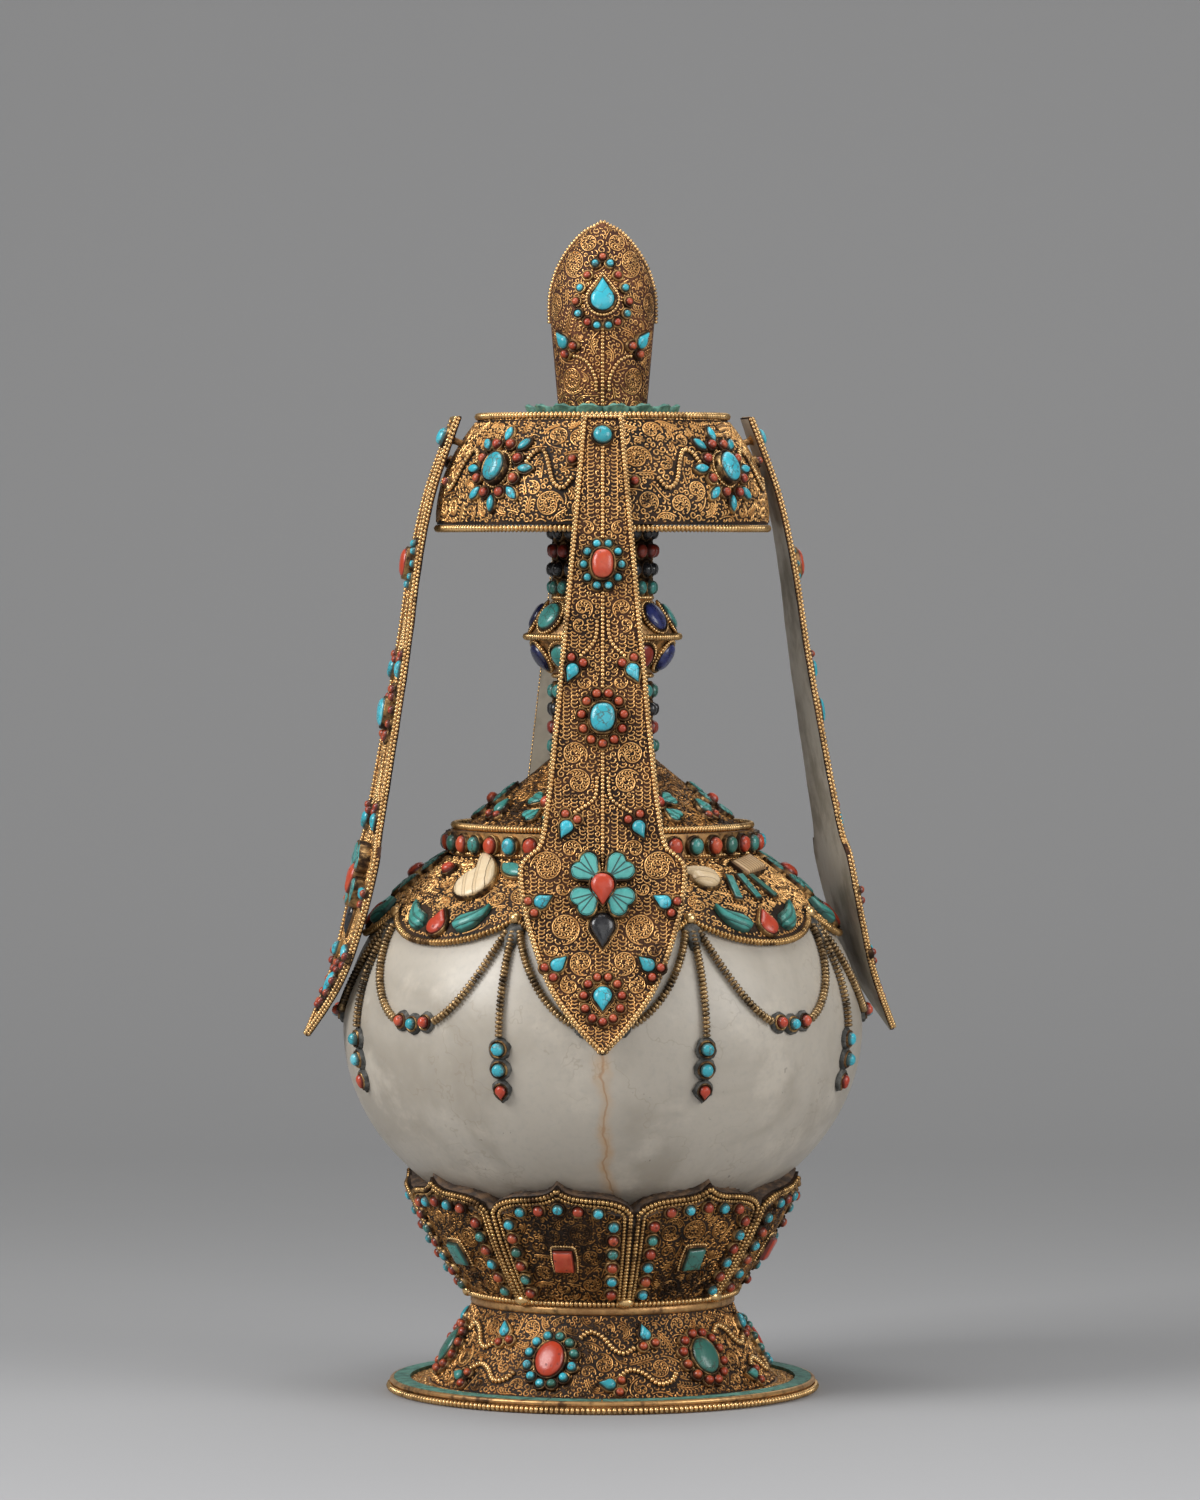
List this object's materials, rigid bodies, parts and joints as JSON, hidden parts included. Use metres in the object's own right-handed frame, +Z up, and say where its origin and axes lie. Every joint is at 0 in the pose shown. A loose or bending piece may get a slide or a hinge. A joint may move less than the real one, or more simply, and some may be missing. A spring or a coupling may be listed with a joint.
{
  "type": "tibetan bumpa vase",
  "caption": "Lidded ritual vase with a globular stone belly, gilt filigree mounts set with turquoise and coral, a hat lid with finial and long hanging lappets.",
  "frame": {"origin": "centre of the base plate's underside", "axes": "+Z up along the vase's axis, -Y towards the front lappet, +X to the viewer's right"},
  "size_m": [0.2061, 0.208, 0.4103],
  "materials": {
    "filigree": "gilt copper filigree, worn, grime in the hollows",
    "gilt_wire": "gilt beaded wire, satin, worn",
    "copper_sheet": "dull tarnished copper sheet",
    "turquoise": "polished turquoise with brown veins",
    "coral": "polished red coral",
    "lapis": "polished dark lapis and onyx",
    "bone": "carved shell and bone",
    "green_inlay": "green turquoise chips in cement",
    "white_stone": "polished pale quartz with faint stains",
    "lac": "brown lac cement",
    "plug_wood": "turned dark wood"
  },
  "bodies": {
    "vase": {"base_plate": "copper_sheet", "foot_ropes": "gilt_wire", "base_inlay": "green_inlay", "foot": "filigree", "lotus_cup": "filigree", "cement_bed": "lac", "foot_settings": "gilt_wire", "foot_turquoise": "turquoise", "foot_coral": "coral", "stone_belly": "white_stone", "shoulder_mantle": "filigree", "mantle_rope": "gilt_wire", "garland_chains": "gilt_wire", "collar_band": "copper_sheet", "shoulder_cone": "filigree", "neck_ropes": "gilt_wire", "shoulder_settings": "gilt_wire", "shoulder_turquoise": "turquoise", "shoulder_coral": "coral", "shoulder_bone": "bone", "lower_neck": "copper_sheet", "neck_knop": "copper_sheet", "upper_neck": "copper_sheet", "neck_liner": "copper_sheet", "neck_settings": "gilt_wire", "neck_turquoise": "turquoise", "neck_coral": "coral", "neck_lapis": "lapis"},
    "lid": {"hat_band": "filigree", "hat_top": "copper_sheet", "hat_ropes": "gilt_wire", "lotus_ring": "green_inlay", "finial": "filigree", "finial_rope": "gilt_wire", "lid_plug": "plug_wood", "lid_settings": "gilt_wire", "lid_turquoise": "turquoise", "lid_coral": "coral"},
    "lappet_front": {"lappet_front_plate": "filigree", "lappet_front_pin": "gilt_wire", "lappet_front_settings": "gilt_wire", "lappet_front_turquoise": "turquoise", "lappet_front_coral": "coral"},
    "lappet_right": {"lappet_right_plate": "filigree", "lappet_right_pin": "gilt_wire", "lappet_right_settings": "gilt_wire", "lappet_right_turquoise": "turquoise", "lappet_right_coral": "coral"},
    "lappet_back": {"lappet_back_plate": "filigree", "lappet_back_pin": "gilt_wire", "lappet_back_settings": "gilt_wire", "lappet_back_turquoise": "turquoise", "lappet_back_coral": "coral"},
    "lappet_left": {"lappet_left_plate": "filigree", "lappet_left_pin": "gilt_wire", "lappet_left_settings": "gilt_wire", "lappet_left_turquoise": "turquoise", "lappet_left_coral": "coral"}
  },
  "joints": [
    {"name": "lid_lift", "type": "slide", "parent": "vase", "child": "lid", "axis": [0, 0, 1], "range_m": [0, 0.22]},
    {"name": "lappet_front_swing", "type": "hinge", "parent": "lid", "child": "lappet_front", "pos_m": [0, -0.05376, 0.33224], "axis": [0, -0.9397, 0.342], "range_deg": [-10, 10]},
    {"name": "lappet_right_swing", "type": "hinge", "parent": "lid", "child": "lappet_right", "pos_m": [0.05294, 0.00934, 0.33224], "axis": [0.9254, 0.1632, 0.342], "range_deg": [-10, 10]},
    {"name": "lappet_back_swing", "type": "hinge", "parent": "lid", "child": "lappet_back", "pos_m": [-0.00562, 0.05347, 0.33224], "axis": [-0.0982, 0.9345, 0.342], "range_deg": [-10, 10]},
    {"name": "lappet_left_swing", "type": "hinge", "parent": "lid", "child": "lappet_left", "pos_m": [-0.05324, -0.00748, 0.33224], "axis": [-0.9305, -0.1308, 0.342], "range_deg": [-10, 10]}
  ]
}
